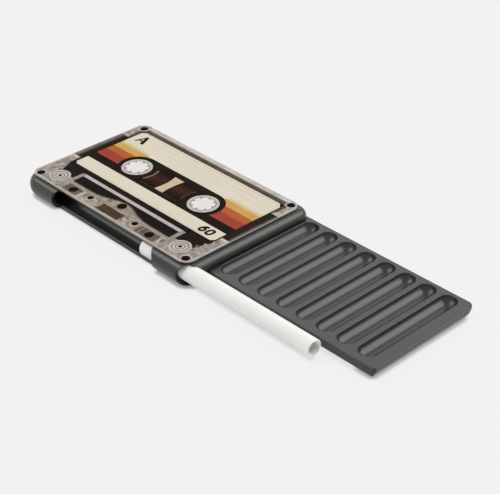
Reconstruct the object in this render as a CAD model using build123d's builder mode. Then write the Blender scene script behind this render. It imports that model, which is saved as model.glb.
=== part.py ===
"""Sliding tray case in the form of an audio cassette.

A flat moulded case with a printed face. A tray with eight troughs slides out of its right end, and a
hollow tube lies in a round channel along its near side, where a long finger window reaches it.

Millimetres, +Z up. The origin is on the underside, below the middle of the face plate. +X is the way that
the tray and the tube come out, and -Y is the side with the finger window. The tray and the tube are
drawn slid out.
"""

import os

from build123d import *

# ---- driving dimensions -------------------------------------------------------------------------

# the case, whose sides bulge out to the parting line at half its height
left_reach = 52.5
right_reach = 53.4
case_width = 69.6
case_height = 11.0
left_corner_radius = 7.4
right_corner_radius = 5.2
parting_height = 5.5
top_side_lean = 3.1
bottom_side_lean = 4.6
shoulder_height = 9.85

plate_length = 100.8
plate_width = 63.8
plate_corner = 4.4
plate_thickness = 0.5
adhesive_thickness = 0.15
adhesive_margin = 1.0

side_wall = 0.8
floor_thickness = 0.9
deck_thickness = 1.45
end_block = 5.2
roof_wall = 3.2
roof_corner = 5.0

tray_travel = 86.7
tray_length = 100.1
tray_top = 5.5
tray_near_face = -22.8
tray_side_gap = 0.2
tray_near_gap = 0.25
tray_floor_gap = 0.25
tray_roof_gap = 0.25
tray_top_round = 0.6
tray_low_round = 1.0
tray_corner_round = 1.4
tray_mouth_height = 6.25

trough_count = 8
trough_pitch = 10.33
trough_radius = 4.05
trough_rise = 0.6
trough_length = 52.1
trough_middle = 6.25
trough_lip_round = 0.3
first_trough = 58.45

tube_radius = 3.6
tube_bore = 2.75
tube_length = 93.5
tube_left_end = 23.3
tube_edge_round = 0.3
channel_radius = 3.85
channel_left_end = -48.0
mouth_left_end = 47.0
mouth_radius = 5.2

window_length = 65.4
window_middle = 0.4
window_head = 9.6
window_arch = 5.4
window_roof_edge = -31.6
window_floor_edge = -30.9

far_wall_right_end = 48.0

peg_radius = 0.6
peg_length = 2.0
peg_gap = 0.05
peg_places = ((-50.2, -20.0), (-50.2, 5.0), (-50.2, 25.0), (-38.0, -24.3), (38.0, -24.3))

magnet_radius = 1.4
magnet_length = 3.0
magnet_height = 3.2
magnet_places = (-10.0, 20.0)
magnet_recess = 0.1
keeper_thickness = 1.0

stop_pin_radius = 0.6
stop_pin_top = 2.9
stop_pin_chamfer = 0.15
stop_pin_x = 43.0
stop_pin_y = -21.15
stop_slot_gap = 0.25
stop_slot_top = 3.2

grip_pad_length = 8.0
grip_pad_width = 3.0
grip_pad_x = 39.0
grip_pad_bottom = 1.0
grip_pad_gap = 0.05

# ---- sizes worked out from them -----------------------------------------------------------------

case_length = left_reach + right_reach
half_width = case_width / 2
tube_middle_y = parting_height - half_width
tube_height = parting_height
seat_height = case_height - plate_thickness - adhesive_thickness
deck_ceiling = seat_height - deck_thickness
bay_left = -left_reach + end_block
bay_near = tray_near_face - tray_near_gap
bay_far = half_width - side_wall
bay_corner_y = half_width - parting_height
tray_far = bay_far - tray_side_gap
tray_bottom = floor_thickness + tray_floor_gap
tray_right = right_reach + tray_travel
tray_left = tray_right - tray_length
trough_centre_height = tray_top + trough_rise
beyond = 12.0

os.makedirs("parts", exist_ok=True)


def save(built: BuildPart, name: str) -> None:
    """Labels a finished piece and writes it as parts/name.step."""
    built.part.label = name
    export_step(built.part, f"parts/{name}.step")


def flank(reach: float) -> Sketch:
    """Half a section of the case, from its middle line out to a bulging side that far away.

    The sketch's x runs outwards and its y is the height. The side is a quarter oval above the
    parting line and another below it.
    """
    with BuildSketch(Plane.XY) as section:
        with BuildLine():
            Line((0, 0), (reach - bottom_side_lean, 0))
            EllipticalCenterArc(
                (reach - bottom_side_lean, parting_height),
                bottom_side_lean,
                parting_height,
                start_angle=-90,
                arc_size=90,
            )
            EllipticalCenterArc(
                (reach - top_side_lean, parting_height),
                top_side_lean,
                shoulder_height - parting_height,
                start_angle=0,
                arc_size=90,
            )
            Line((reach - top_side_lean, shoulder_height), (0, shoulder_height))
            Line((0, shoulder_height), (0, 0))
        make_face()
    return section.sketch


def bay_section(near: float, far: float, low: float, high: float) -> Sketch:
    """A section across the tray bay, whose far lower corner runs parallel to the case's side.

    The sketch's x is the case's Y and its y is the height.
    """
    radius = far - bay_corner_y
    drop = parting_height - low
    low_far = bay_corner_y + (radius**2 - drop**2) ** 0.5
    middle_far = bay_corner_y + (radius**2 - (drop / 2) ** 2) ** 0.5
    middle_height = parting_height - drop / 2
    with BuildSketch(Plane.XY) as section:
        with BuildLine():
            Line((near, low), (low_far, low))
            ThreePointArc((low_far, low), (middle_far, middle_height), (far, parting_height))
            Line((far, parting_height), (far, high))
            Line((far, high), (near, high))
            Line((near, high), (near, low))
        make_face()
    return section.sketch


# ---- the outer form -----------------------------------------------------------------------------

left_corner_x = -left_reach + left_corner_radius
left_corner_y = half_width - left_corner_radius
right_corner_x = right_reach - right_corner_radius
right_corner_y = half_width - right_corner_radius

with BuildPart() as case_form:
    # the middle, as wide as the case
    with BuildSketch(Plane.YZ.offset(left_corner_x)):
        add(flank(half_width))
        mirror(about=Plane.YZ)
    extrude(amount=right_corner_x - left_corner_x)
    # the two ends between the corners
    with BuildSketch(Plane.XZ.offset(-right_corner_y)):
        add(flank(right_reach))
    extrude(amount=2 * right_corner_y)
    with BuildSketch(Plane.XZ.offset(-left_corner_y)):
        mirror(flank(left_reach), about=Plane.YZ)
    extrude(amount=2 * left_corner_y)
    # the four corners, each a quarter turn of the same section
    for radius, x, y, out_x, out_y in (
        (right_corner_radius, right_corner_x, right_corner_y, 1, 0),
        (left_corner_radius, left_corner_x, left_corner_y, 0, 1),
        (left_corner_radius, left_corner_x, -left_corner_y, -1, 0),
        (right_corner_radius, right_corner_x, -right_corner_y, 0, -1),
    ):
        with BuildSketch(Plane(origin=(x, y, 0), x_dir=(out_x, out_y, 0), z_dir=(out_y, -out_x, 0))):
            add(flank(radius))
        revolve(axis=Axis((x, y, 0), (0, 0, 1)), revolution_arc=90)

# the tray's outline up to its rounded top edges, trimmed to the same form moved out with it
with BuildPart() as tray_form:
    with BuildSketch(Plane.XY) as tray_plan:
        with Locations((tray_right, tray_near_face)):
            Rectangle(case_length, half_width - tray_near_face, align=(Align.MAX, Align.MIN))
        far_corner = tray_plan.vertices().sort_by(lambda corner: corner.X + corner.Y)[-1]
        fillet(far_corner, right_corner_radius)
        near_corner = tray_plan.vertices().sort_by(lambda corner: corner.X - corner.Y)[-1]
        fillet(near_corner, tray_corner_round)
    extrude(amount=tray_top)
    fillet(tray_form.faces().sort_by(Axis.Z)[-1].edges(), tray_top_round)
    with Locations((tray_travel, 0, 0)):
        add(case_form.part, mode=Mode.INTERSECT)

# ---- the hollows that both shells share ----------------------------------------------------------

with BuildPart() as channel_hollow:
    with BuildSketch(Plane.YZ.offset(channel_left_end)):
        with Locations((tube_middle_y, tube_height)):
            Circle(channel_radius)
    extrude(amount=right_reach + beyond - channel_left_end)
    # its mouth is a scoop out of the case's corner, which leaves only a floor under the tube
    with BuildSketch(Plane.XZ.offset(-tube_middle_y)):
        with Locations((mouth_left_end + mouth_radius, tube_height)):
            Circle(mouth_radius)
            Rectangle(beyond, 2 * beyond, align=(Align.MIN, Align.CENTER))
        with Locations((mouth_left_end, tube_height - channel_radius)):
            Rectangle(2 * beyond, 2 * beyond, align=(Align.MIN, Align.MIN), mode=Mode.INTERSECT)
    extrude(amount=beyond)

with BuildPart() as window_hollow:
    # an arched opening in the side, open to the underside too
    with BuildSketch(Plane.XZ.offset(half_width + beyond)):
        with Locations((window_middle, tube_height)):
            SlotOverall(window_length, 2 * window_arch)
            Rectangle(window_length, beyond, align=(Align.CENTER, Align.MAX))
    extrude(amount=-(half_width + beyond + window_roof_edge))
    # the floor stops a little further in
    with BuildSketch(Plane.XZ.offset(half_width + beyond)):
        with Locations((window_middle, tube_height)):
            Rectangle(window_length, beyond, align=(Align.CENTER, Align.MAX))
    extrude(amount=-(half_width + beyond + window_floor_edge))
    # a flat roof over the tube
    with BuildSketch(Plane.XZ.offset(half_width + beyond)):
        with Locations((window_middle, tube_height)):
            SlotOverall(window_length, 2 * (window_head - tube_height))
            Rectangle(
                window_length,
                beyond,
                align=(Align.CENTER, Align.MIN),
                mode=Mode.INTERSECT,
            )
    extrude(amount=-(half_width + beyond + tube_middle_y))

# ---- lower shell ---------------------------------------------------------------------------------

with BuildPart() as lower_shell:
    add(case_form.part)
    split(bisect_by=Plane.XY.offset(parting_height), keep=Keep.BOTTOM)
    # tray bay, open at the right end
    with BuildSketch(Plane.YZ.offset(bay_left)):
        add(bay_section(bay_near, bay_far, floor_thickness, case_height))
    extrude(amount=case_length + beyond, mode=Mode.SUBTRACT)
    # the thin far wall stops before the rounded corner, which the tray's own end fills
    with Locations((far_wall_right_end, bay_corner_y, floor_thickness)):
        Box(
            beyond,
            beyond,
            case_height,
            align=(Align.MIN, Align.MIN, Align.MIN),
            mode=Mode.SUBTRACT,
        )
    add(channel_hollow.part, mode=Mode.SUBTRACT)
    add(window_hollow.part, mode=Mode.SUBTRACT)
    with Locations(*[Location((x, y, parting_height)) for x, y in peg_places]):
        Hole(peg_radius + peg_gap, depth=peg_length + peg_gap)
    with Locations(*[Location((bay_left, y, magnet_height), (0, 90, 0)) for y in magnet_places]):
        Hole(magnet_radius, depth=magnet_length + magnet_recess)
    with Locations((stop_pin_x, stop_pin_y, floor_thickness)):
        Hole(stop_pin_radius, depth=floor_thickness / 2)
    with Locations((grip_pad_x, tube_middle_y, grip_pad_bottom)):
        Box(
            grip_pad_length,
            grip_pad_width,
            parting_height - grip_pad_bottom,
            align=(Align.CENTER, Align.CENTER, Align.MIN),
            mode=Mode.SUBTRACT,
        )
save(lower_shell, "lower_shell")

# ---- upper shell ---------------------------------------------------------------------------------

with BuildPart() as upper_shell:
    add(case_form.part)
    split(bisect_by=Plane.XY.offset(parting_height), keep=Keep.TOP)
    # raised seat for the printed face plate
    with BuildSketch(Plane.XY.offset(seat_height)):
        RectangleRounded(plate_length, plate_width, plate_corner)
    extrude(amount=-(seat_height - parting_height))
    # room for the tray to pass under the shell, whose ledges keep it down
    with Locations((bay_left, bay_near, parting_height)):
        Box(
            case_length,
            bay_far - bay_near,
            tray_roof_gap,
            align=(Align.MIN, Align.MIN, Align.MIN),
            mode=Mode.SUBTRACT,
        )
    # hollow above the troughs
    roof_right = right_reach - roof_wall
    with BuildSketch(Plane.XY.offset(parting_height)):
        with Locations(((bay_left + roof_right) / 2, trough_middle)):
            RectangleRounded(roof_right - bay_left, trough_length, roof_corner)
    extrude(amount=deck_ceiling - parting_height, mode=Mode.SUBTRACT)
    # the mouth over the tray at the right end is a little higher
    with Locations((roof_right - roof_corner, bay_near, parting_height)):
        Box(
            beyond,
            bay_far - bay_near,
            tray_mouth_height - parting_height,
            align=(Align.MIN, Align.MIN, Align.MIN),
            mode=Mode.SUBTRACT,
        )
    add(channel_hollow.part, mode=Mode.SUBTRACT)
    add(window_hollow.part, mode=Mode.SUBTRACT)
    with BuildSketch(Plane.XY.offset(parting_height - peg_length)):
        with Locations(*peg_places):
            Circle(peg_radius)
    extrude(amount=peg_length)
save(upper_shell, "upper_shell")

# ---- face plate and the adhesive sheet under it --------------------------------------------------

with BuildPart() as plate_adhesive:
    with BuildSketch(Plane.XY.offset(seat_height)):
        RectangleRounded(
            plate_length - 2 * adhesive_margin,
            plate_width - 2 * adhesive_margin,
            plate_corner - adhesive_margin,
        )
    extrude(amount=adhesive_thickness)
save(plate_adhesive, "plate_adhesive")

with BuildPart() as face_plate:
    with BuildSketch(Plane.XY.offset(seat_height + adhesive_thickness)):
        RectangleRounded(plate_length, plate_width, plate_corner)
    extrude(amount=plate_thickness)
save(face_plate, "face_plate")

# ---- tray ----------------------------------------------------------------------------------------

# one trough: a round-bottomed groove with ball ends
with BuildPart() as trough_cutter:
    with BuildSketch(Plane.XZ.offset(-(trough_length / 2 - trough_radius))):
        Circle(trough_radius)
    extrude(amount=trough_length - 2 * trough_radius)
    with Locations(
        (0, trough_length / 2 - trough_radius, 0),
        (0, -(trough_length / 2 - trough_radius), 0),
    ):
        Sphere(trough_radius)

with BuildPart() as tray:
    with BuildSketch(Plane.YZ.offset(tray_left)):
        add(bay_section(tray_near_face, tray_far, tray_bottom, case_height))
    extrude(amount=tray_length)
    near_edges = tray.edges().filter_by(Axis.X).group_by(Axis.Y)[0].sort_by(Axis.Z)
    fillet(near_edges[0], tray_low_round)
    add(tray_form.part, mode=Mode.INTERSECT)
    with Locations(
        *[
            (first_trough + place * trough_pitch, trough_middle, trough_centre_height)
            for place in range(trough_count)
        ]
    ):
        add(trough_cutter.part, mode=Mode.SUBTRACT)
    top_face = tray.faces().sort_by(Axis.Z)[-1]
    lips = [edge for wire in top_face.inner_wires() for edge in wire.edges()]
    fillet(lips, trough_lip_round)
    # groove underneath that runs over the stop pin
    with BuildSketch():
        with Locations((stop_pin_x + tray_travel / 2, stop_pin_y)):
            SlotOverall(
                tray_travel + 2 * (stop_pin_radius + stop_slot_gap),
                2 * (stop_pin_radius + stop_slot_gap),
            )
    extrude(amount=stop_slot_top, mode=Mode.SUBTRACT)
    # pockets for the keepers in the inner end
    with BuildSketch(Plane.YZ.offset(tray_left)):
        with Locations(*[(y, magnet_height) for y in magnet_places]):
            Circle(magnet_radius)
    extrude(amount=magnet_recess + keeper_thickness, mode=Mode.SUBTRACT)
save(tray, "tray")

# ---- small parts --------------------------------------------------------------------------------

with BuildPart() as closing_magnets:
    with BuildSketch(Plane.YZ.offset(bay_left - magnet_recess - magnet_length)):
        with Locations(*[(y, magnet_height) for y in magnet_places]):
            Circle(magnet_radius)
    extrude(amount=magnet_length)
save(closing_magnets, "closing_magnets")

with BuildPart() as tray_keepers:
    with BuildSketch(Plane.YZ.offset(tray_left + magnet_recess)):
        with Locations(*[(y, magnet_height) for y in magnet_places]):
            Circle(magnet_radius)
    extrude(amount=keeper_thickness)
save(tray_keepers, "tray_keepers")

with BuildPart() as stop_pin:
    with BuildSketch(Plane.XY.offset(floor_thickness / 2)):
        with Locations((stop_pin_x, stop_pin_y)):
            Circle(stop_pin_radius)
    extrude(amount=stop_pin_top - floor_thickness / 2)
    chamfer(stop_pin.faces().sort_by(Axis.Z)[-1].edges(), stop_pin_chamfer)
save(stop_pin, "stop_pin")

with BuildPart() as grip_pad:
    with Locations((grip_pad_x, tube_middle_y, grip_pad_bottom)):
        Box(
            grip_pad_length,
            grip_pad_width,
            tube_height - grip_pad_bottom,
            align=(Align.CENTER, Align.CENTER, Align.MIN),
        )
    with BuildSketch(Plane.YZ.offset(grip_pad_x - grip_pad_length)):
        with Locations((tube_middle_y, tube_height)):
            Circle(tube_radius + grip_pad_gap)
    extrude(amount=2 * grip_pad_length, mode=Mode.SUBTRACT)
save(grip_pad, "grip_pad")

# ---- tube ---------------------------------------------------------------------------------------

with BuildPart() as tube:
    with BuildSketch(Plane.YZ.offset(tube_left_end)):
        with Locations((tube_middle_y, tube_height)):
            Circle(tube_radius)
            Circle(tube_bore, mode=Mode.SUBTRACT)
    extrude(amount=tube_length)
    fillet(tube.edges().filter_by(GeomType.CIRCLE), tube_edge_round)
save(tube, "tube")
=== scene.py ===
"""Looks of the sliding tray case: moulded shells, printed cassette face, tray and white tube."""

import logging
import math
from dataclasses import dataclass, field
from enum import Enum

import bmesh
import bpy
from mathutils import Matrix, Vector


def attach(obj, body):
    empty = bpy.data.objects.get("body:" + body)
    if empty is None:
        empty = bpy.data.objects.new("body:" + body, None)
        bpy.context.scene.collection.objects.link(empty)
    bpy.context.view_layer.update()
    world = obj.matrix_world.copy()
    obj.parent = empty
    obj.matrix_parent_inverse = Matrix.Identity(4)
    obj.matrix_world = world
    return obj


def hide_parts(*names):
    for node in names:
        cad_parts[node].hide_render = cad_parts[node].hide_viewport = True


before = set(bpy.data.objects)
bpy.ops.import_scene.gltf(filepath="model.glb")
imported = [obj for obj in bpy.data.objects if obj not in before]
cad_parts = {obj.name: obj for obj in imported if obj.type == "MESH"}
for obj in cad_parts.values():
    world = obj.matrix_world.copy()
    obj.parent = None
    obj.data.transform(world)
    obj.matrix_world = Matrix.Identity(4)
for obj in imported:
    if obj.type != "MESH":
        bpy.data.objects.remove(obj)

log = logging.getLogger("tray_case")

MM = 0.001
PRINT_SHINE = 0.008
SCATTER_MM = 1.2

Point = tuple[float, float]
Colour = tuple[float, float, float]


def linear(red: int, green: int, blue: int) -> Colour:
    """Turns a display colour into the linear one that shaders take.

    Args:
        red: Red from 0 to 255.
        green: Green from 0 to 255.
        blue: Blue from 0 to 255.

    Returns:
        The linear colour, each part from 0 to 1.
    """

    def part(value: int) -> float:
        """One channel of it."""
        share = value / 255.0
        return share / 12.92 if share <= 0.04045 else ((share + 0.055) / 1.055) ** 2.4

    return part(red), part(green), part(blue)


class Body(Enum):
    """The bodies that pieces made here ride on."""

    CASE = "case"


class Slot(Enum):
    """A name among the record's material slots; no piece made here is given a slot."""

    PLATE = "printed_plate"


# ---- shader groups ------------------------------------------------------------------------------


class NodeGroup:
    """A shader group with named inputs and outputs, built once and placed in many materials."""

    def __init__(self, name: str) -> None:
        """Starts an empty group.

        Args:
            name: The group's name.
        """
        self.tree = bpy.data.node_groups.new(name, "ShaderNodeTree")
        self.source = self.tree.nodes.new("NodeGroupInput")
        self.target = self.tree.nodes.new("NodeGroupOutput")

    def takes(self, name: str, kind: str, default: object = None) -> None:
        """Adds an input socket.

        Args:
            name: The socket's name.
            kind: Float, Vector or Color.
            default: Its value where nothing is linked.
        """
        socket = self.tree.interface.new_socket(name, in_out="INPUT", socket_type=f"NodeSocket{kind}")
        if default is not None:
            socket.default_value = default

    def gives(self, name: str, kind: str = "Float") -> None:
        """Adds an output socket."""
        self.tree.interface.new_socket(name, in_out="OUTPUT", socket_type=f"NodeSocket{kind}")

    def node(self, kind: str, **settings: object) -> bpy.types.Node:
        """Adds a node to the group and sets its properties."""
        made = self.tree.nodes.new(kind)
        for key, value in settings.items():
            setattr(made, key, value)
        return made

    def link(self, start: bpy.types.NodeSocket, end: bpy.types.NodeSocket) -> None:
        """Joins two sockets of the group."""
        self.tree.links.new(start, end)

    def maths(self, operation: str, first: object, second: object = None) -> bpy.types.NodeSocket:
        """Adds a Math node whose inputs are sockets or numbers.

        Args:
            operation: The node's operation.
            first: The first input.
            second: The second input, where it has one.

        Returns:
            The node's output.
        """
        made = self.node("ShaderNodeMath", operation=operation)
        for place, value in enumerate((first, second)):
            if isinstance(value, bpy.types.NodeSocket):
                self.link(value, made.inputs[place])
            elif value is not None:
                made.inputs[place].default_value = value
        return made.outputs[0]


def build_grain_group() -> bpy.types.NodeTree:
    """Builds the moulded grain: a fine height, and a slow mottle for the colour.

    Returns:
        The group's tree.
    """
    group = NodeGroup("moulded_grain")
    group.takes("Vector", "Vector")
    group.takes("Grain Size", "Float", 0.25)
    group.takes("Mottle Size", "Float", 9.0)
    group.gives("Height")
    group.gives("Mottle")
    to_mm = group.node("ShaderNodeVectorMath", operation="SCALE")
    to_mm.inputs["Scale"].default_value = 1.0 / MM
    group.link(group.source.outputs["Vector"], to_mm.inputs[0])
    fine_scale = group.maths("DIVIDE", 1.0, group.source.outputs["Grain Size"])
    fine = group.node("ShaderNodeTexNoise", noise_dimensions="3D")
    fine.inputs["Detail"].default_value = 2.0
    group.link(to_mm.outputs[0], fine.inputs["Vector"])
    group.link(fine_scale, fine.inputs["Scale"])
    pits = group.node("ShaderNodeTexVoronoi", feature="SMOOTH_F1")
    pits.inputs["Smoothness"].default_value = 0.6
    group.link(to_mm.outputs[0], pits.inputs["Vector"])
    group.link(fine_scale, pits.inputs["Scale"])
    height = group.maths("ADD", fine.outputs["Fac"], pits.outputs["Distance"])
    slow_scale = group.maths("DIVIDE", 1.0, group.source.outputs["Mottle Size"])
    slow = group.node("ShaderNodeTexNoise", noise_dimensions="3D")
    slow.inputs["Detail"].default_value = 3.0
    group.link(to_mm.outputs[0], slow.inputs["Vector"])
    group.link(slow_scale, slow.inputs["Scale"])
    group.link(height, group.target.inputs["Height"])
    group.link(slow.outputs["Fac"], group.target.inputs["Mottle"])
    return group.tree


def build_print_group() -> bpy.types.NodeTree:
    """Builds the look of printed ink: the ink's colour varied by blotches and fine paper grain.

    Returns:
        The group's tree.
    """
    group = NodeGroup("printed_ink")
    group.takes("Vector", "Vector")
    group.takes("Ink", "Color", (0.5, 0.5, 0.5, 1.0))
    group.takes("Second Ink", "Color", (0.4, 0.4, 0.4, 1.0))
    group.takes("Blotch Size", "Float", 6.0)
    group.takes("Blotch", "Float", 0.5)
    group.takes("Paper Grain", "Float", 0.05)
    group.gives("Color", "Color")
    group.gives("Height")
    group.gives("Roughness")
    to_mm = group.node("ShaderNodeVectorMath", operation="SCALE")
    to_mm.inputs["Scale"].default_value = 1.0 / MM
    group.link(group.source.outputs["Vector"], to_mm.inputs[0])
    blotch = group.node("ShaderNodeTexNoise", noise_dimensions="3D")
    blotch.inputs["Detail"].default_value = 4.0
    blotch.inputs["Roughness"].default_value = 0.6
    group.link(to_mm.outputs[0], blotch.inputs["Vector"])
    group.link(group.maths("DIVIDE", 1.0, group.source.outputs["Blotch Size"]), blotch.inputs["Scale"])
    spread = group.node("ShaderNodeMapRange")
    spread.inputs["From Min"].default_value = 0.35
    spread.inputs["From Max"].default_value = 0.65
    group.link(blotch.outputs["Fac"], spread.inputs["Value"])
    share = group.maths("MULTIPLY", spread.outputs["Result"], group.source.outputs["Blotch"])
    blend = group.node("ShaderNodeMix", data_type="RGBA")
    group.link(share, blend.inputs["Factor"])
    group.link(group.source.outputs["Ink"], blend.inputs[6])
    group.link(group.source.outputs["Second Ink"], blend.inputs[7])
    paper = group.node("ShaderNodeTexNoise", noise_dimensions="3D")
    paper.inputs["Scale"].default_value = 5.0
    paper.inputs["Detail"].default_value = 2.0
    group.link(to_mm.outputs[0], paper.inputs["Vector"])
    centred = group.maths("SUBTRACT", paper.outputs["Fac"], 0.5)
    swing = group.maths("MULTIPLY", centred, group.source.outputs["Paper Grain"])
    bright = group.maths("ADD", 1.0, swing)
    shade = group.node("ShaderNodeVectorMath", operation="SCALE")
    group.link(blend.outputs[2], shade.inputs[0])
    group.link(bright, shade.inputs["Scale"])
    group.link(shade.outputs[0], group.target.inputs["Color"])
    group.link(paper.outputs["Fac"], group.target.inputs["Height"])
    rough = group.node("ShaderNodeMapRange")
    rough.inputs["To Min"].default_value = 0.34
    rough.inputs["To Max"].default_value = 0.46
    group.link(paper.outputs["Fac"], rough.inputs["Value"])
    group.link(rough.outputs["Result"], group.target.inputs["Roughness"])
    return group.tree


@dataclass
class ShaderGroups:
    """The shader groups that the materials share."""

    grain: bpy.types.NodeTree = field(default_factory=build_grain_group)
    ink: bpy.types.NodeTree = field(default_factory=build_print_group)


# ---- finishes -----------------------------------------------------------------------------------


class MaterialBuilder:
    """A material with its Principled BSDF and the few calls that the finishes need."""

    def __init__(self, name: str) -> None:
        """Starts a material.

        Args:
            name: The material's name.
        """
        self.material = bpy.data.materials.new(name)
        self.material.use_nodes = True
        self.tree = self.material.node_tree
        self.shader = self.tree.nodes["Principled BSDF"]
        self.place = self.tree.nodes.new("ShaderNodeTexCoord").outputs["Object"]

    def group(self, tree: bpy.types.NodeTree, **values: object) -> bpy.types.Node:
        """Places a shader group, fed with the object's own coordinates.

        Args:
            tree: The group's tree.
            values: Input values by name, with underscores for spaces.

        Returns:
            The group node.
        """
        node = self.tree.nodes.new("ShaderNodeGroup")
        node.node_tree = tree
        self.tree.links.new(self.place, node.inputs["Vector"])
        for key, value in values.items():
            node.inputs[key.replace("_", " ")].default_value = value
        return node

    def link(self, start: bpy.types.NodeSocket, end: bpy.types.NodeSocket) -> None:
        """Joins two sockets of the material."""
        self.tree.links.new(start, end)

    def ramp(self, value: bpy.types.NodeSocket, low: Colour, high: Colour) -> bpy.types.NodeSocket:
        """Turns a value into a colour between two.

        Args:
            value: What drives it, from 0 to 1.
            low: The colour at 0.3.
            high: The colour at 0.7.

        Returns:
            The colour's socket.
        """
        node = self.tree.nodes.new("ShaderNodeValToRGB")
        node.color_ramp.elements[0].position = 0.3
        node.color_ramp.elements[0].color = (*low, 1.0)
        node.color_ramp.elements[1].position = 0.7
        node.color_ramp.elements[1].color = (*high, 1.0)
        self.link(value, node.inputs["Fac"])
        return node.outputs["Color"]

    def bump(self, height: bpy.types.NodeSocket, strength: float, depth_mm: float) -> None:
        """Raises the surface by a height.

        Args:
            height: The height, from 0 to 1.
            strength: How strongly it shows.
            depth_mm: How deep it is.
        """
        node = self.tree.nodes.new("ShaderNodeBump")
        node.inputs["Strength"].default_value = strength
        node.inputs["Distance"].default_value = depth_mm * MM
        self.link(height, node.inputs["Height"])
        self.link(node.outputs["Normal"], self.shader.inputs["Normal"])

    def spread(self, value: bpy.types.NodeSocket, low: float, high: float) -> bpy.types.NodeSocket:
        """Spreads a value of 0 to 1 over another range."""
        node = self.tree.nodes.new("ShaderNodeMapRange")
        node.inputs["To Min"].default_value = low
        node.inputs["To Max"].default_value = high
        self.link(value, node.inputs["Value"])
        return node.outputs["Result"]


@dataclass(frozen=True)
class MouldedPlastic:
    """Satin moulded plastic with a fine grain."""

    name: str
    low: Colour
    high: Colour
    roughness: tuple[float, float]
    specular: float = 0.5
    grain_mm: float = 0.3
    bump_strength: float = 0.15
    glow_through: float = 0.0

    def build(self, groups: ShaderGroups) -> bpy.types.Material:
        """Builds the material.

        Args:
            groups: The shared shader groups.

        Returns:
            The material.
        """
        made = MaterialBuilder(self.name)
        grain = made.group(groups.grain, Grain_Size=self.grain_mm, Mottle_Size=9.0)
        made.link(
            made.ramp(grain.outputs["Mottle"], self.low, self.high),
            made.shader.inputs["Base Color"],
        )
        made.link(
            made.spread(grain.outputs["Mottle"], *self.roughness),
            made.shader.inputs["Roughness"],
        )
        made.shader.inputs["Specular IOR Level"].default_value = self.specular
        made.shader.inputs["Subsurface Weight"].default_value = self.glow_through
        made.shader.inputs["Subsurface Radius"].default_value = (1.0, 1.0, 1.0)
        made.shader.inputs["Subsurface Scale"].default_value = SCATTER_MM * MM
        made.bump(grain.outputs["Height"], self.bump_strength, 0.02)
        return made.material


@dataclass(frozen=True)
class PrintedInk:
    """One ink of the printed face, under a thin gloss film."""

    name: str
    first: Colour
    second: Colour
    blotch: float = 0.35
    blotch_mm: float = 6.0
    paper_grain: float = 0.06

    def build(self, groups: ShaderGroups) -> bpy.types.Material:
        """Builds the material.

        Args:
            groups: The shared shader groups.

        Returns:
            The material.
        """
        made = MaterialBuilder(self.name)
        ink = made.group(
            groups.ink,
            Ink=(*self.first, 1.0),
            Second_Ink=(*self.second, 1.0),
            Blotch_Size=self.blotch_mm,
            Blotch=self.blotch,
            Paper_Grain=self.paper_grain,
        )
        made.link(ink.outputs["Color"], made.shader.inputs["Base Color"])
        made.link(ink.outputs["Roughness"], made.shader.inputs["Roughness"])
        made.shader.inputs["Specular IOR Level"].default_value = PRINT_SHINE
        made.bump(ink.outputs["Height"], 0.05, 0.01)
        return made.material


@dataclass(frozen=True)
class GradedInk:
    """An ink whose colour passes softly through several colours along one direction."""

    name: str
    axis: str
    stops: tuple[tuple[float, Colour], ...]
    second: Colour
    blotch: float = 0.3
    blotch_mm: float = 4.0
    paper_grain: float = 0.06

    def build(self, groups: ShaderGroups) -> bpy.types.Material:
        """Builds the material.

        Args:
            groups: The shared shader groups.

        Returns:
            The material.
        """
        made = MaterialBuilder(self.name)
        nodes = made.tree.nodes
        parts = nodes.new("ShaderNodeSeparateXYZ")
        made.link(made.place, parts.inputs["Vector"])
        along = nodes.new("ShaderNodeMapRange")
        low, high = self.stops[0][0], self.stops[-1][0]
        along.inputs["From Min"].default_value = low * MM
        along.inputs["From Max"].default_value = high * MM
        made.link(parts.outputs[self.axis], along.inputs["Value"])
        ramp = nodes.new("ShaderNodeValToRGB")
        elements = ramp.color_ramp.elements
        while len(elements) < len(self.stops):
            elements.new(0.5)
        for element, (place, colour) in zip(elements, self.stops):
            element.position = (place - low) / (high - low)
            element.color = (*colour, 1.0)
        made.link(along.outputs["Result"], ramp.inputs["Fac"])
        ink = made.group(
            groups.ink,
            Second_Ink=(*self.second, 1.0),
            Blotch_Size=self.blotch_mm,
            Blotch=self.blotch,
            Paper_Grain=self.paper_grain,
        )
        made.link(ramp.outputs["Color"], ink.inputs["Ink"])
        made.link(ink.outputs["Color"], made.shader.inputs["Base Color"])
        made.link(ink.outputs["Roughness"], made.shader.inputs["Roughness"])
        made.shader.inputs["Specular IOR Level"].default_value = PRINT_SHINE
        made.bump(ink.outputs["Height"], 0.05, 0.01)
        return made.material


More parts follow.
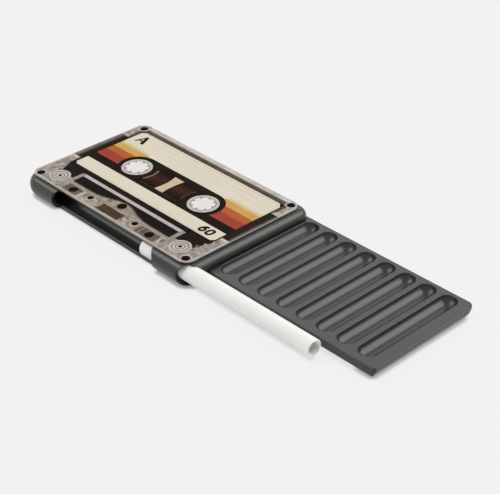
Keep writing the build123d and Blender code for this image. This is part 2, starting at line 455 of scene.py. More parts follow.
class Ink(Enum):
    """The inks of the printed face."""

    SHELL_TINT = PrintedInk("ink_shell_tint", linear(178, 169, 160), linear(108, 101, 94), 0.85, 2.6)
    PLATE_SIDE = PrintedInk("ink_plate_side", linear(196, 189, 181), linear(172, 165, 158), 0.6, 4.0)
    EDGE_LIGHT = PrintedInk("ink_edge_light", linear(198, 190, 182), linear(158, 151, 144), 1.0, 9.0)
    TOP_BAND = PrintedInk("ink_top_band", linear(203, 197, 192), linear(166, 161, 155), 0.9, 10.0)
    TOP_STRIP = PrintedInk("ink_top_strip", linear(88, 79, 69), linear(60, 53, 46), 0.7, 5.0)
    TOP_LINE = PrintedInk("ink_top_line", linear(134, 126, 117), linear(104, 97, 89), 0.7, 4.0)
    FRAME_DARK = PrintedInk("ink_frame_dark", linear(34, 27, 24), linear(22, 18, 16), 0.7, 5.0)
    FRAME_LEFT = GradedInk(
        "ink_frame_left",
        "X",
        ((-50.2, linear(150, 140, 130)), (-47.0, linear(36, 28, 24))),
        linear(18, 14, 12),
    )
    FRAME_RIGHT = GradedInk(
        "ink_frame_right",
        "X",
        ((48.6, linear(40, 32, 28)), (50.2, linear(120, 110, 100))),
        linear(24, 18, 16),
    )
    CREAM = PrintedInk("ink_cream", linear(217, 209, 191), linear(209, 200, 181), 0.6, 12.0)
    CREAM_LINE = PrintedInk("ink_cream_line", linear(192, 182, 162), linear(182, 172, 152), 0.4)
    RED = PrintedInk("ink_red", linear(156, 70, 56), linear(144, 64, 52), 0.6, 5.0)
    RUST = PrintedInk("ink_rust", linear(178, 96, 56), linear(166, 88, 52), 0.6, 5.0)
    GOLD = PrintedInk("ink_gold", linear(202, 160, 88), linear(192, 150, 82), 0.6, 5.0)
    SAND = PrintedInk("ink_sand", linear(210, 190, 140), linear(204, 182, 130), 0.6, 5.0)
    BLACK = PrintedInk("ink_black", linear(30, 25, 18), linear(20, 17, 13), 0.5)
    LETTER = PrintedInk("ink_letter", linear(32, 29, 24), linear(24, 22, 19), 0.4)
    HUB_RING = PrintedInk("ink_hub_ring", linear(199, 195, 190), linear(176, 171, 166), 0.7, 3.0)
    HUB_SHADE = PrintedInk("ink_hub_shade", linear(156, 149, 143), linear(134, 127, 121), 0.5, 3.0)
    HUB_WHITE = PrintedInk("ink_hub_white", linear(225, 223, 219), linear(214, 211, 207), 0.4, 5.0)
    PACKS = GradedInk(
        "ink_tape_packs",
        "Y",
        ((-3.2, linear(26, 16, 14)), (4.0, linear(66, 40, 30)), (9.6, linear(24, 14, 13))),
        linear(22, 13, 12),
        0.5,
    )
    TAPE_DARK = PrintedInk("ink_tape_dark", linear(26, 16, 14), linear(20, 13, 12), 0.6, 4.0)
    TAPE_GAP = PrintedInk("ink_tape_gap", linear(203, 186, 160), linear(190, 170, 138), 0.7, 4.0)
    GLASS_ARC = PrintedInk("ink_glass_arc", linear(126, 101, 82), linear(84, 66, 56), 0.6, 3.0)
    GLASS_LINE = PrintedInk("ink_glass_line", linear(74, 62, 60), linear(54, 44, 43), 0.5, 3.0)
    PANEL = PrintedInk("ink_panel", linear(168, 157, 142), linear(112, 101, 88), 0.9, 2.4)
    PANEL_LINE = PrintedInk("ink_panel_line", linear(186, 176, 165), linear(156, 146, 134), 0.7, 3.0)
    PANEL_SEAM = PrintedInk("ink_panel_seam", linear(104, 92, 80), linear(82, 72, 62), 0.6, 2.5)
    ARCH_EDGE = PrintedInk("ink_arch_edge", linear(92, 78, 64), linear(66, 55, 46), 0.7, 2.5)
    BEVEL = PrintedInk("ink_bevel", linear(184, 179, 177), linear(168, 162, 160), 0.5, 5.0)
    BEVEL_SIDE = PrintedInk("ink_bevel_side", linear(158, 152, 147), linear(128, 122, 116), 0.7, 2.5)
    WINDOW_DARK = PrintedInk("ink_window_dark", linear(27, 23, 20), linear(20, 18, 16), 0.6, 5.0)
    PANEL_BROWN = PrintedInk("ink_panel_brown", linear(84, 66, 50), linear(56, 44, 34), 0.7, 3.0)
    PANEL_SHADE = PrintedInk("ink_panel_shade", linear(112, 99, 86), linear(66, 56, 48), 0.8, 2.4)
    PANEL_LIGHT = PrintedInk("ink_panel_light", linear(192, 183, 172), linear(158, 148, 136), 0.7, 2.0)
    SMEAR = PrintedInk("ink_smear", linear(170, 160, 150), linear(84, 76, 70), 1.0, 1.6)
    ROLLER = PrintedInk("ink_roller", linear(196, 190, 184), linear(168, 161, 155), 0.7, 3.0)
    ROLLER_DARK = PrintedInk("ink_roller_dark", linear(120, 112, 105), linear(98, 91, 85), 0.5, 2.0)
    HOLE = PrintedInk("ink_hole", linear(20, 15, 13), linear(12, 9, 8), 0.5)


# ---- mesh code ----------------------------------------------------------------------------------


def arc(centre: Point, radius: float, start: float, end: float, steps: int = 24) -> list[Point]:
    """Points along a circular arc.

    Args:
        centre: The arc's centre.
        radius: Its radius.
        start: The start angle in degrees.
        end: The end angle in degrees.
        steps: How many stretches it has.

    Returns:
        The points, both ends included.
    """
    return [
        (
            centre[0] + radius * math.cos(math.radians(start + (end - start) * k / steps)),
            centre[1] + radius * math.sin(math.radians(start + (end - start) * k / steps)),
        )
        for k in range(steps + 1)
    ]


def rounded_box(low: Point, high: Point, radius: float, steps: int = 8) -> list[Point]:
    """The outline of a rectangle with round corners, anticlockwise.

    Args:
        low: Its lower left corner.
        high: Its upper right corner.
        radius: The corner radius.
        steps: Stretches in each corner.

    Returns:
        The outline.
    """
    (x0, y0), (x1, y1) = low, high
    return [
        *arc((x1 - radius, y1 - radius), radius, 0, 90, steps),
        *arc((x0 + radius, y1 - radius), radius, 90, 180, steps),
        *arc((x0 + radius, y0 + radius), radius, 180, 270, steps),
        *arc((x1 - radius, y0 + radius), radius, 270, 360, steps),
    ]


def mirrored(points: list[Point]) -> list[Point]:
    """The same outline on the other side of the middle line, still anticlockwise."""
    return [(-x, y) for x, y in reversed(points)]


class PrintSheet:
    """A mesh of flat shapes, each at its own level just above the plate."""

    def __init__(self, name: str, base: float, step: float) -> None:
        """Starts an empty sheet.

        Args:
            name: The piece's name.
            base: The height of level 0 in millimetres.
            step: The height between two levels in millimetres.
        """
        self.name = name
        self.base = base
        self.step = step
        self.mesh = bmesh.new()
        self.inks: list[Ink] = []

    def _slot(self, ink: Ink) -> int:
        """The material index of an ink, added where it is new."""
        if ink not in self.inks:
            self.inks.append(ink)
        return self.inks.index(ink)

    def _face(self, corners: list[tuple[float, float, float]], slot: int) -> None:
        """Adds one face from corners in millimetres."""
        face = self.mesh.faces.new([self.mesh.verts.new(Vector(c) * MM) for c in corners])
        face.material_index = slot

    def shape(self, outline: list[Point], level: float, ink: Ink) -> None:
        """Adds a flat shape.

        Args:
            outline: Its outline, anticlockwise, in millimetres.
            level: Its level.
            ink: Its ink.
        """
        height = self.base + self.step * level
        self._face([(x, y, height) for x, y in outline], self._slot(ink))

    def box(self, low: Point, high: Point, level: float, ink: Ink) -> None:
        """Adds a plain rectangle from its two corners."""
        (x0, y0), (x1, y1) = low, high
        self.shape([(x0, y0), (x1, y0), (x1, y1), (x0, y1)], level, ink)

    def disc(self, centre: Point, radius: float, level: float, ink: Ink) -> None:
        """Adds a round shape."""
        self.shape(arc(centre, radius, 0, 352.5, 47), level, ink)

    def band(self, inner: list[Point], outer: list[Point], level: float, ink: Ink) -> None:
        """Adds the strip between two lines of equally many points.

        Args:
            inner: The line on the left of the way it runs.
            outer: The line on its right.
            level: The strip's level.
            ink: Its ink.
        """
        height = self.base + self.step * level
        slot = self._slot(ink)
        for k in range(len(inner) - 1):
            corners = (outer[k], outer[k + 1], inner[k + 1], inner[k])
            self._face([(x, y, height) for x, y in corners], slot)

    def ring(self, centre: Point, inner: float, outer: float, level: float, ink: Ink) -> None:
        """Adds a round ring between two radii."""
        self.band(arc(centre, inner, 0, 360, 48), arc(centre, outer, 0, 360, 48), level, ink)

    def stroke(self, line: list[Point], width: float, level: float, ink: Ink) -> None:
        """Adds a line of constant width along points.

        Args:
            line: The points.
            width: The line's width.
            level: Its level.
            ink: Its ink.
        """
        left: list[Point] = []
        right: list[Point] = []
        last = len(line) - 1
        for k, (x, y) in enumerate(line):
            before = Vector(line[max(k - 1, 0)])
            after = Vector(line[min(k + 1, last)])
            way = (after - before).normalized()
            across = Vector((-way.y, way.x)) * (width / 2)
            left.append((x + across.x, y + across.y))
            right.append((x - across.x, y - across.y))
        self.band(left, right, level, ink)

    def finish(self, materials: dict[Ink, bpy.types.Material]) -> bpy.types.Object:
        """Turns the sheet into a piece on the case.

        Args:
            materials: The built material of each ink.

        Returns:
            The piece.
        """
        data = bpy.data.meshes.new(self.name)
        self.mesh.to_mesh(data)
        self.mesh.free()
        for ink in self.inks:
            data.materials.append(materials[ink])
        piece = bpy.data.objects.new(self.name, data)
        bpy.context.scene.collection.objects.link(piece)
        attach(piece, Body.CASE.value)
        log.info("%s: %d shapes", self.name, len(data.polygons))
        return piece


# ---- sub-assemblies -----------------------------------------------------------------------------


@dataclass
class PrintedFace:
    """The printed plate with the picture of a cassette, sized in millimetres."""

    length: float = 100.8
    width: float = 63.8
    corner: float = 4.4
    bottom: float = 10.5
    base: float = 10.9
    step: float = 0.01
    edge_round: float = 0.12
    print_margin: float = 0.13
    edge_light: float = 0.8
    label_left: float = -44.0
    label_right: float = 45.2
    stripe_inner: float = 22.0
    field_radius: float = 9.2
    field_rise: float = 0.3
    hub_x: float = 21.3
    hub_y: float = 3.4
    materials: dict[Ink, bpy.types.Material] = field(default_factory=dict)

    def _sheet(self, name: str) -> PrintSheet:
        """Starts one sheet of the picture."""
        return PrintSheet(name, self.base, self.step)

    def build(self, groups: ShaderGroups) -> list[bpy.types.Object]:
        """Builds the plate and every sheet of its picture.

        Args:
            groups: The shared shader groups.

        Returns:
            The pieces.
        """
        self.materials = {ink: ink.value.build(groups) for ink in Ink}
        plate = self._plate()
        sheets = (
            self._shell_border(),
            self._side_frames(),
            self._label(),
            self._stripes(),
            self._writing(),
            self._window(),
            self._hubs(),
            self._lower_panel(),
            self._panel_holes(),
            self._rollers(),
            self._corner_holes(),
        )
        pieces = [sheet.finish(self.materials) for sheet in sheets]
        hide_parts("face_plate")
        return [plate, *pieces]

    def _plate(self) -> bpy.types.Object:
        """Builds the plate itself, with a small round along its upper edge.

        Returns:
            The plate.
        """
        mesh = bmesh.new()
        edge = self.edge_round
        steps = (
            (0.0, self.bottom),
            (0.0, self.base - edge),
            (edge / 3, self.base - edge / 3),
            (edge, self.base),
        )
        rings = []
        for inset, height in steps:
            x, y = self.length / 2 - inset, self.width / 2 - inset
            outline = rounded_box((-x, -y), (x, y), self.corner - inset, 10)
            rings.append([mesh.verts.new(Vector((*p, height)) * MM) for p in outline])
        for lower, upper in zip(rings, rings[1:]):
            for k in range(len(lower)):
                after = (k + 1) % len(lower)
                mesh.faces.new((lower[k], lower[after], upper[after], upper[k]))
        mesh.faces.new(rings[-1])
        mesh.faces.new(list(reversed(rings[0])))
        mesh.normal_update()
        for face in mesh.faces:
            face.material_index = int(abs(face.normal.z) < 0.5)
        data = bpy.data.meshes.new("printed_plate")
        mesh.to_mesh(data)
        mesh.free()
        data.materials.append(self.materials[Ink.SHELL_TINT])
        data.materials.append(self.materials[Ink.PLATE_SIDE])
        plate = bpy.data.objects.new("printed_plate", data)
        bpy.context.scene.collection.objects.link(plate)
        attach(plate, Body.CASE.value)
        return plate

    def _shell_border(self) -> PrintSheet:
        """Draws the clear shell's light edge and the bands along its far side."""
        sheet = self._sheet("print_border")
        x, y = self.length / 2 - self.print_margin, self.width / 2 - self.print_margin
        corner = self.corner - self.print_margin
        inset = self.edge_light
        outer = rounded_box((-x, -y), (x, y), corner)
        inner = rounded_box((-x + inset, -y + inset), (x - inset, y - inset), corner - inset)
        sheet.band([*inner, inner[0]], [*outer, outer[0]], 1, Ink.EDGE_LIGHT)
        sheet.box((-44.6, 29.4), (45.2, y), 2, Ink.TOP_BAND)
        sheet.shape([(-44.0, 26.4), (45.0, 26.4), (44.6, 28.8), (-43.6, 28.8)], 1, Ink.TOP_STRIP)
        sheet.box((-43.8, 28.8), (44.6, 29.4), 1.5, Ink.TOP_LINE)
        return sheet

    def _side_frames(self) -> PrintSheet:
        """Draws the dark frames beside the label and the dark field under it."""
        sheet = self._sheet("print_frames")
        sheet.box((-45.2, -14.6), (45.9, 26.8), 1, Ink.FRAME_DARK)
        sheet.box((-50.2, -8.6), (-44.4, 18.2), 2, Ink.FRAME_LEFT)
        sheet.box((45.5, -8.6), (50.2, 18.4), 2, Ink.FRAME_RIGHT)
        sheet.box((-46.3, 18.4), (-44.4, 26.2), 2, Ink.TOP_STRIP)
        sheet.box((45.5, 18.6), (46.9, 27.0), 2, Ink.TOP_STRIP)
        for x0, x1 in ((-49.0, -45.9), (46.4, 49.2)):
            sheet.box((x0, 18.4), (x1, 20.0), 3, Ink.EDGE_LIGHT)
            sheet.box((x0, -10.4), (x1, -8.9), 3, Ink.EDGE_LIGHT)
        return sheet

    def _label(self) -> PrintSheet:
        """Draws the paper label above and below the dark band."""
        sheet = self._sheet("print_label")
        sheet.shape(
            [(-44.0, -1.0), (45.2, -1.0), (45.2, 24.3), (43.0, 26.5), (-42.4, 26.5), (-44.0, 24.9)],
            3,
            Ink.CREAM,
        )
        sheet.stroke([(44.3, 14.0), (44.3, 23.9), (42.6, 25.6), (-42.0, 25.6)], 0.18, 4, Ink.CREAM_LINE)
        sheet.shape(
            [(-42.3, -13.3), (43.8, -13.3), (45.2, -11.9), (45.2, -5.7), (-43.8, -5.7), (-43.8, -11.8)],
            3,
            Ink.CREAM,
        )
        sheet.stroke([(-42.3, -12.5), (43.4, -12.5)], 0.18, 4, Ink.CREAM_LINE)
        return sheet

    def _stripes(self) -> PrintSheet:
        """Draws the coloured stripes on both sides of the window's dark field."""
        sheet = self._sheet("print_stripes")
        left, right, inner = self.label_left, self.label_right, self.stripe_inner
        for low, high, ink in ((-0.9, 4.6, Ink.RED), (4.6, 8.9, Ink.RUST)):
            sheet.box((left, low), (-inner, high), 4, ink)
            sheet.box((inner, low), (right, high), 4, ink)
        gold = [(-inner, 8.9), (-inner, 11.0), (-24.6, 12.6), (-24.8, 13.0)]
        sheet.shape([(left, 8.9), *gold, (left, 13.0)], 4, Ink.GOLD)
        sheet.shape([*mirrored(gold), (right, 8.9), (right, 13.0)], 4, Ink.GOLD)
        sheet.shape([(left, 13.0), (-24.8, 13.0), (-26.0, 14.6), (left, 14.6)], 4, Ink.SAND)
        sheet.shape([(24.8, 13.0), (right, 13.0), (right, 14.6), (26.0, 14.6)], 4, Ink.SAND)
        sheet.box((left, -5.4), (45.3, -0.8), 4.5, Ink.BLACK)
        middle = self.hub_y + self.field_rise
        sheet.shape(
            [
                *arc((self.hub_x, middle), self.field_radius, -90, 90, 32),
                *arc((-self.hub_x, middle), self.field_radius, 90, 270, 32),
            ],
            5,
            Ink.BLACK,
        )
        return sheet

    def _writing(self) -> PrintSheet:
        """Draws the side letter, the playing time and faint lines to write on."""
        sheet = self._sheet("print_writing")
        sheet.stroke([(-40.6, 18.2), (-38.6, 23.6)], 0.95, 5, Ink.LETTER)
        sheet.shape([(-39.3, 24.1), (-37.0, 17.9), (-35.2, 17.9), (-37.6, 24.1)], 5.5, Ink.LETTER)
        sheet.stroke([(-39.9, 20.0), (-36.6, 20.0)], 0.9, 5.3, Ink.LETTER)
        for y in (25.0, 22.5, 19.3):
            sheet.stroke([(-32.0, y), (38.0, y)], 0.16, 4, Ink.CREAM_LINE)
        slant, middle = 0.14, -9.45
        bowl = arc((35.75, -10.05), 1.2, 0, 360, 32)
        stem = [(37.1, -7.6), *arc((37.6, -10.1), 3.05, 128, 180, 10)]
        zero = [
            *arc((39.75, -8.8), 1.2, 0, 180, 14),
            *arc((39.75, -10.1), 1.2, 180, 360, 14),
            (40.95, -8.8),
        ]
        for level, line in ((5, bowl), (5.5, stem), (5, zero)):
            sheet.stroke([(x + slant * (y - middle), y) for x, y in line], 1.22, level, Ink.LETTER)
        return sheet

    def _window(self) -> PrintSheet:
        """Draws the window onto the two tape packs."""
        sheet = self._sheet("print_window")
        sheet.shape(rounded_box((-12.3, -3.5), (12.2, 9.9), 0.6, 4), 6, Ink.TAPE_DARK)
        sheet.shape(rounded_box((-12.0, -3.1), (11.9, 9.6), 0.5, 4), 7, Ink.PACKS)
        sheet.stroke([(-11.6, -3.25), (11.6, -3.25)], 0.3, 7.5, Ink.GLASS_LINE)
        left = [(-3.3, 9.6), (-2.5, 7.0), (-2.0, 4.0), (-2.0, 0.5), (-2.4, -2.9)]
        right = [(2.6, 9.6), (2.2, 7.0), (2.0, 4.0), (2.1, 0.5), (2.7, -2.9)]
        sheet.band(right, left, 8, Ink.TAPE_GAP)
        sheet.stroke(arc((-self.hub_x, 3.4), 10.1, -26, 26, 14), 1.0, 8, Ink.GLASS_ARC)
        sheet.stroke(arc((self.hub_x, 3.4), 10.0, 154, 206, 14), 0.7, 8, Ink.GLASS_LINE)
        return sheet

    def _hubs(self) -> PrintSheet:
        """Draws the two hubs with their teeth."""
        sheet = self._sheet("print_hubs")
        for side in (-1, 1):
            centre = (side * self.hub_x, self.hub_y)
            sheet.disc(centre, 6.85, 6, Ink.HUB_RING)
            sheet.ring(centre, 5.1, 5.6, 7, Ink.HUB_SHADE)
            sheet.disc(centre, 5.1, 7, Ink.HUB_WHITE)
            for x, y in arc(centre, 4.75, 12, 327, 7):
                sheet.disc((x, y), 0.62, 8, Ink.HUB_SHADE)
        return sheet

    def _lower_panel(self) -> PrintSheet:
        """Draws the raised panel under the label with its arched window."""
        sheet = self._sheet("print_lower_panel")
        sheet.shape([(-33.0, -14.0), (-45.2, -14.0), (-41.8, -22.0), (-33.2, -22.4)], 2, Ink.FRAME_DARK)
        sheet.shape([(33.0, -14.0), (33.2, -22.4), (43.6, -22.0), (46.2, -14.0)], 2, Ink.FRAME_DARK)
        for side, places in (
            (-1, ((45.4, -16.4), (44.0, -19.4), (42.6, -21.8), (46.4, -22.6))),
            (
                1,
                ((45.6, -16.8), (44.2, -20.0), (45.0, -22.6), (47.0, -18.8), (48.0, -15.0), (47.9, -12.9)),
            ),
        ):
            for x, y in places:
                smear = rounded_box((side * x - 1.3, y - 0.6), (side * x + 1.3, y + 0.7), 0.55, 4)
                sheet.shape(smear, 3, Ink.SMEAR)
        sheet.box((-33.4, -16.4), (33.4, -14.0), 2, Ink.FRAME_DARK)
        sheet.shape([(-31.8, -16.3), (-33.9, -31.3), (33.9, -31.3), (31.8, -16.3)], 3, Ink.PANEL)
        rise, spread, foot = 4.3, 10.0, -23.7
        low = [(x, foot + rise * math.exp(-((x / spread) ** 2))) for x in range(-31, 32)]
        high = [(x, -18.2) for x, _ in low]
        sheet.band(high, [(x, y - 0.45) for x, y in low], 4, Ink.ARCH_EDGE)
        sheet.band(high, [(x, y + 0.25) for x, y in low], 5, Ink.WINDOW_DARK)
        for x0, x1 in ((-32.6, -3.0), (2.8, 32.6)):
            sheet.box((x0, -24.6), (x1, -24.1), 5, Ink.PANEL_LINE)
        sheet.box((-32.8, -25.0), (32.8, -24.7), 5, Ink.PANEL_SEAM)
        sheet.box((-32.8, -25.5), (32.8, -25.1), 5, Ink.PANEL_LINE)
        sheet.box((-33.4, -31.4), (33.4, -30.8), 6, Ink.PANEL_LINE)
        sheet.shape([(-31.8, -16.4), (-31.2, -18.2), (31.2, -18.2), (31.8, -16.4)], 6, Ink.BEVEL)
        side = [(-32.4, -16.8), (-34.4, -31.3), (-32.8, -31.3), (-31.0, -18.0), (-31.6, -16.3)]
        sheet.shape(side, 6, Ink.BEVEL_SIDE)
        sheet.shape(mirrored(side), 6, Ink.BEVEL_SIDE)
        return sheet

    def _panel_holes(self) -> PrintSheet:
        """Draws the pressure pad, the guide holes and the slots of the lower panel."""
        sheet = self._sheet("print_panel_holes")
        sheet.box((-7.0, -30.8), (6.5, -25.9), 5, Ink.PANEL_BROWN)
        sheet.box((-30.0, -30.9), (-21.0, -25.8), 5, Ink.PANEL_SHADE)
        sheet.box((19.5, -30.9), (29.0, -25.8), 5, Ink.PANEL_SHADE)
        sheet.box((17.3, -30.8), (19.0, -25.8), 5, Ink.PANEL_SEAM)
        sheet.box((-20.3, -30.8), (-18.8, -25.8), 5, Ink.PANEL_LIGHT)
        sheet.shape([(28.6, -26.0), (31.0, -31.0), (32.0, -31.0), (29.5, -26.0)], 6, Ink.PANEL_LIGHT)
        for x, y in ((-11.5, -27.0), (-9.5, -29.5), (8.5, -28.0), (10.6, -30.0), (-16.6, -30.0)):
            sheet.shape(rounded_box((x - 1.1, y - 0.6), (x + 1.1, y + 0.6), 0.4, 4), 6, Ink.PANEL_LIGHT)
        sheet.shape(rounded_box((30.6, -28.4), (32.2, -26.0), 0.6, 4), 6, Ink.ROLLER_DARK)
        for x, y in ((-14.7, -27.2), (13.8, -27.0)):
            sheet.disc((x, y - 0.5), 1.9, 6, Ink.PANEL_LIGHT)
            sheet.disc((x, y), 1.45, 7, Ink.HOLE)
        for x, y, radius in ((-0.2, -22.1, 2.15), (-25.0, -28.2, 2.0), (24.3, -28.2, 2.0)):
            sheet.disc((x, y), radius, 7, Ink.HOLE)
        return sheet

    def _rollers(self) -> PrintSheet:
        """Draws the two guide rollers at the lower corners."""
        sheet = self._sheet("print_rollers")
        for x in (-38.6, 39.3):
            centre = (x, -24.9)
            sheet.disc(centre, 4.65, 4, Ink.ROLLER)
            sheet.ring(centre, 3.2, 3.65, 5, Ink.ROLLER_DARK)
            sheet.ring(centre, 1.7, 2.1, 5, Ink.ROLLER_DARK)
            sheet.disc(centre, 0.8, 5, Ink.HOLE)
        return sheet

    def _corner_holes(self) -> PrintSheet:
        """Draws the four screw holes in the corners."""
        sheet = self._sheet("print_corner_holes")
        for x, y in ((-46.4, 28.4), (47.2, 28.8), (-46.3, -29.2), (47.1, -28.9)):
            sheet.disc((x, y), 2.35, 2.5, Ink.ROLLER)
            sheet.disc((x, y), 1.85, 3, Ink.HOLE)
        return sheet


@dataclass
class MouldedParts:
    """The moulded shells, tray and tube, which keep the frame's own shapes."""

    shells: tuple[str, ...] = ("upper_shell", "lower_shell", "tray")
    steel: tuple[str, ...] = ("tray_keepers", "stop_pin")
    smooth_angle: float = 30.0

    def dress(self, groups: ShaderGroups) -> None:
        """Gives each carried-over part its material.

        Args:
            groups: The shared shader groups.
        """
        charcoal = MouldedPlastic(
            "charcoal_plastic", linear(43, 43, 41), linear(48, 48, 46), (0.27, 0.33), 0.44
        ).build(groups)
        white = MouldedPlastic(
            "white_plastic", linear(240, 240, 236), linear(245, 245, 242), (0.40, 0.50), 0.4, 0.4, 0.08, 0.5
        ).build(groups)
        felt = MouldedPlastic(
            "black_felt", linear(34, 34, 34), linear(48, 48, 48), (0.85, 0.95), 0.2, 0.5, 0.8
        ).build(groups)
        film = MouldedPlastic(
            "adhesive_film", linear(206, 200, 186), linear(190, 184, 170), (0.4, 0.5), 0.4
        ).build(groups)
        steel = self._metal("turned_steel", linear(150, 150, 150), groups)
        nickel = self._metal("magnet_nickel", linear(176, 174, 170), groups)
        for name in self.shells:
            self._assign(name, charcoal)
        for name in self.steel:
            self._assign(name, steel)
        self._assign("closing_magnets", nickel)
        self._assign("tube", white)
        self._assign("grip_pad", felt)
        self._assign("plate_adhesive", film)

    def _metal(self, name: str, colour: Colour, groups: ShaderGroups) -> bpy.types.Material:
        """Builds a metal with fine marks.

        Args:
            name: The material's name.
            colour: Its colour.
            groups: The shared shader groups.

        Returns:
            The material.
        """
        made = MaterialBuilder(name)
        grain = made.group(groups.grain, Grain_Size=0.15, Mottle_Size=2.0)
        darker = tuple(part * 0.8 for part in colour)
        made.link(made.ramp(grain.outputs["Mottle"], darker, colour), made.shader.inputs["Base Color"])
        made.link(made.spread(grain.outputs["Mottle"], 0.25, 0.4), made.shader.inputs["Roughness"])
        made.shader.inputs["Metallic"].default_value = 1.0
        made.bump(grain.outputs["Height"], 0.1, 0.01)
        return made.material

    def _assign(self, node: str, material: bpy.types.Material) -> None:
        """Puts a material on a carried-over part.

        Args:
            node: The part's name.
            material: The material.
        """
        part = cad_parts[node]
        part.data.materials.clear()
        part.data.materials.append(material)
        log.info("%s dressed in %s", node, material.name)


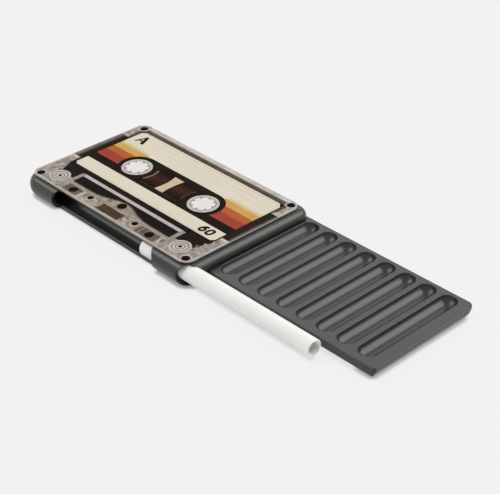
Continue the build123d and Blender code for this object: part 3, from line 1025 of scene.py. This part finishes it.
@dataclass
class Studio:
    """The floor, the soft light and the camera."""

    focal_px: float = 1347.01
    image_px: tuple[int, int] = (500, 494)
    azimuth: float = 46.335
    elevation: float = 32.75
    distance: float = 0.528
    target: tuple[float, float, float] = (0.058558, -0.005441, 0.011)
    floor_size: float = 6.0
    floor_colour: Colour = field(default_factory=lambda: linear(242, 242, 242))
    floor_glow: float = 0.94
    # Painted contact shadow on the seen floor: its reach, the occlusion range it spans and its darkest
    # level.
    painted_shadow_mm: float = 2.5
    painted_shadow_range: tuple[float, float] = (0.3, 0.85)
    painted_shadow_dark: float = 0.35
    surround_light: float = 0.3

    def build(self) -> None:
        """Sets up the whole studio."""
        self._floor()
        self._light("right_light", 50.0, 35.0, (0.72, 0.72), 6.6)
        self._light("left_light", 222.0, 46.0, (0.72, 0.72), 5.8)
        self._light("back_light", 136.0, 40.0, (0.9, 0.5), 1.2)
        self._world()
        self._camera()
        bpy.context.scene.view_settings.view_transform = "Standard"

    def _floor(self) -> None:
        """Builds the pale floor, which looks near white, keeps the object's soft shadow and carries a
        painted contact shadow close around the object.
        """
        mesh = bmesh.new()
        half = self.floor_size / 2
        corners = ((-half, -half), (half, -half), (half, half), (-half, half))
        mesh.faces.new([mesh.verts.new((x, y, 0.0)) for x, y in corners])
        data = bpy.data.meshes.new("studio_floor")
        mesh.to_mesh(data)
        mesh.free()
        floor = bpy.data.objects.new("studio_floor", data)
        bpy.context.scene.collection.objects.link(floor)
        data.materials.append(self._floor_material())

    def _floor_material(self) -> bpy.types.Material:
        """Builds the floor's material: what is seen is part white darkened near the object by a painted
        contact shadow, part lit with its real shadow.

        Returns:
            The material.
        """
        made = MaterialBuilder("pale_floor")
        made.shader.inputs["Base Color"].default_value = (*self.floor_colour, 1.0)
        made.shader.inputs["Roughness"].default_value = 0.9
        made.shader.inputs["Specular IOR Level"].default_value = 0.0
        nodes = made.tree.nodes
        share = nodes.new("ShaderNodeMath")
        share.operation = "MULTIPLY"
        share.inputs[1].default_value = self.floor_glow
        made.link(self._seen(made.tree), share.inputs[0])
        # Painted contact shadow: the seen white is darkened by ambient occlusion wherever the object is
        # within reach.
        painted_shadow_occlusion = nodes.new("ShaderNodeAmbientOcclusion")
        painted_shadow_occlusion.samples = 8
        painted_shadow_occlusion.inputs["Distance"].default_value = self.painted_shadow_mm * MM
        painted_contact_shadow = nodes.new("ShaderNodeMapRange")
        painted_contact_shadow.interpolation_type = "SMOOTHSTEP"
        painted_contact_shadow.inputs["From Min"].default_value = self.painted_shadow_range[0]
        painted_contact_shadow.inputs["From Max"].default_value = self.painted_shadow_range[1]
        painted_contact_shadow.inputs["To Min"].default_value = self.painted_shadow_dark
        made.link(painted_shadow_occlusion.outputs["AO"], painted_contact_shadow.inputs["Value"])
        glow_with_painted_shadow = nodes.new("ShaderNodeEmission")
        glow_with_painted_shadow.inputs["Color"].default_value = (*self.floor_colour, 1.0)
        made.link(painted_contact_shadow.outputs["Result"], glow_with_painted_shadow.inputs["Strength"])
        blend = nodes.new("ShaderNodeMixShader")
        made.link(share.outputs[0], blend.inputs["Fac"])
        made.link(made.shader.outputs[0], blend.inputs[1])
        made.link(glow_with_painted_shadow.outputs[0], blend.inputs[2])
        made.link(blend.outputs[0], nodes["Material Output"].inputs["Surface"])
        return made.material

    def _light(
        self,
        name: str,
        bearing: float,
        height: float,
        size: tuple[float, float],
        watts: float,
    ) -> None:
        """Hangs a soft rectangular lamp a metre away, pointing at the object.

        Args:
            name: The lamp's name.
            bearing: Its direction in degrees from the length of the case, seen from above.
            height: Its angle above the floor in degrees.
            size: Its width and length in metres.
            watts: Its power.
        """
        lamp = bpy.data.lights.new(name, "AREA")
        lamp.shape = "RECTANGLE"
        lamp.size, lamp.size_y = size
        lamp.energy = watts
        holder = bpy.data.objects.new(name, lamp)
        turn, tilt = math.radians(bearing), math.radians(height)
        away = Vector(
            (math.cos(turn) * math.cos(tilt), math.sin(turn) * math.cos(tilt), math.sin(tilt))
        )
        holder.location = Vector((0.045, 0.0, 0.0)) + away
        holder.rotation_euler = away.to_track_quat("Z", "Y").to_euler()
        holder.visible_camera = False
        bpy.context.scene.collection.objects.link(holder)

    def _seen(self, tree: bpy.types.NodeTree) -> bpy.types.NodeSocket:
        """Adds nodes that tell rays that show the background from rays that only light it.

        Args:
            tree: The floor's or the world's node tree.

        Returns:
            A value of 1 for camera, glossy and transmission rays, and 0 for the rest.
        """
        path = tree.nodes.new("ShaderNodeLightPath")
        value = path.outputs["Is Camera Ray"]
        for name in ("Is Glossy Ray", "Is Transmission Ray"):
            either = tree.nodes.new("ShaderNodeMath")
            either.operation = "MAXIMUM"
            tree.links.new(value, either.inputs[0])
            tree.links.new(path.outputs[name], either.inputs[1])
            value = either.outputs[0]
        return value

    def _world(self) -> None:
        """Sets a dim even surround that reflects as the white backdrop."""
        world = bpy.data.worlds.new("studio_surround")
        world.use_nodes = True
        tree = world.node_tree
        surround = tree.nodes["Background"]
        surround.inputs["Color"].default_value = (1.0, 1.0, 1.0, 1.0)
        level = tree.nodes.new("ShaderNodeMapRange")
        level.inputs["To Min"].default_value = self.surround_light
        level.inputs["To Max"].default_value = self.floor_colour[0]
        tree.links.new(self._seen(tree), level.inputs["Value"])
        tree.links.new(level.outputs["Result"], surround.inputs["Strength"])
        bpy.context.scene.world = world

    def _camera(self) -> None:
        """Places the camera."""
        data = bpy.data.cameras.new("view_camera")
        data.sensor_fit = "HORIZONTAL"
        data.sensor_width = 36.0
        data.lens = self.focal_px * 36.0 / self.image_px[0]
        data.clip_start = 0.01
        data.clip_end = 20.0
        camera = bpy.data.objects.new("view_camera", data)
        turn, tilt = math.radians(self.azimuth), math.radians(self.elevation)
        back = Vector(
            (math.sin(turn) * math.cos(tilt), -math.cos(turn) * math.cos(tilt), math.sin(tilt))
        )
        camera.location = Vector(self.target) + back * self.distance
        camera.rotation_euler = back.to_track_quat("Z", "Y").to_euler()
        bpy.context.scene.collection.objects.link(camera)
        bpy.context.scene.camera = camera


def main() -> None:
    """Builds the looks in order."""
    logging.basicConfig(level=logging.INFO)
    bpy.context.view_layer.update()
    groups = ShaderGroups()
    MouldedParts().dress(groups)
    pieces = PrintedFace().build(groups)
    log.info("printed face: %d pieces", len(pieces))
    Studio().build()


if __name__ == "__main__":
    main()
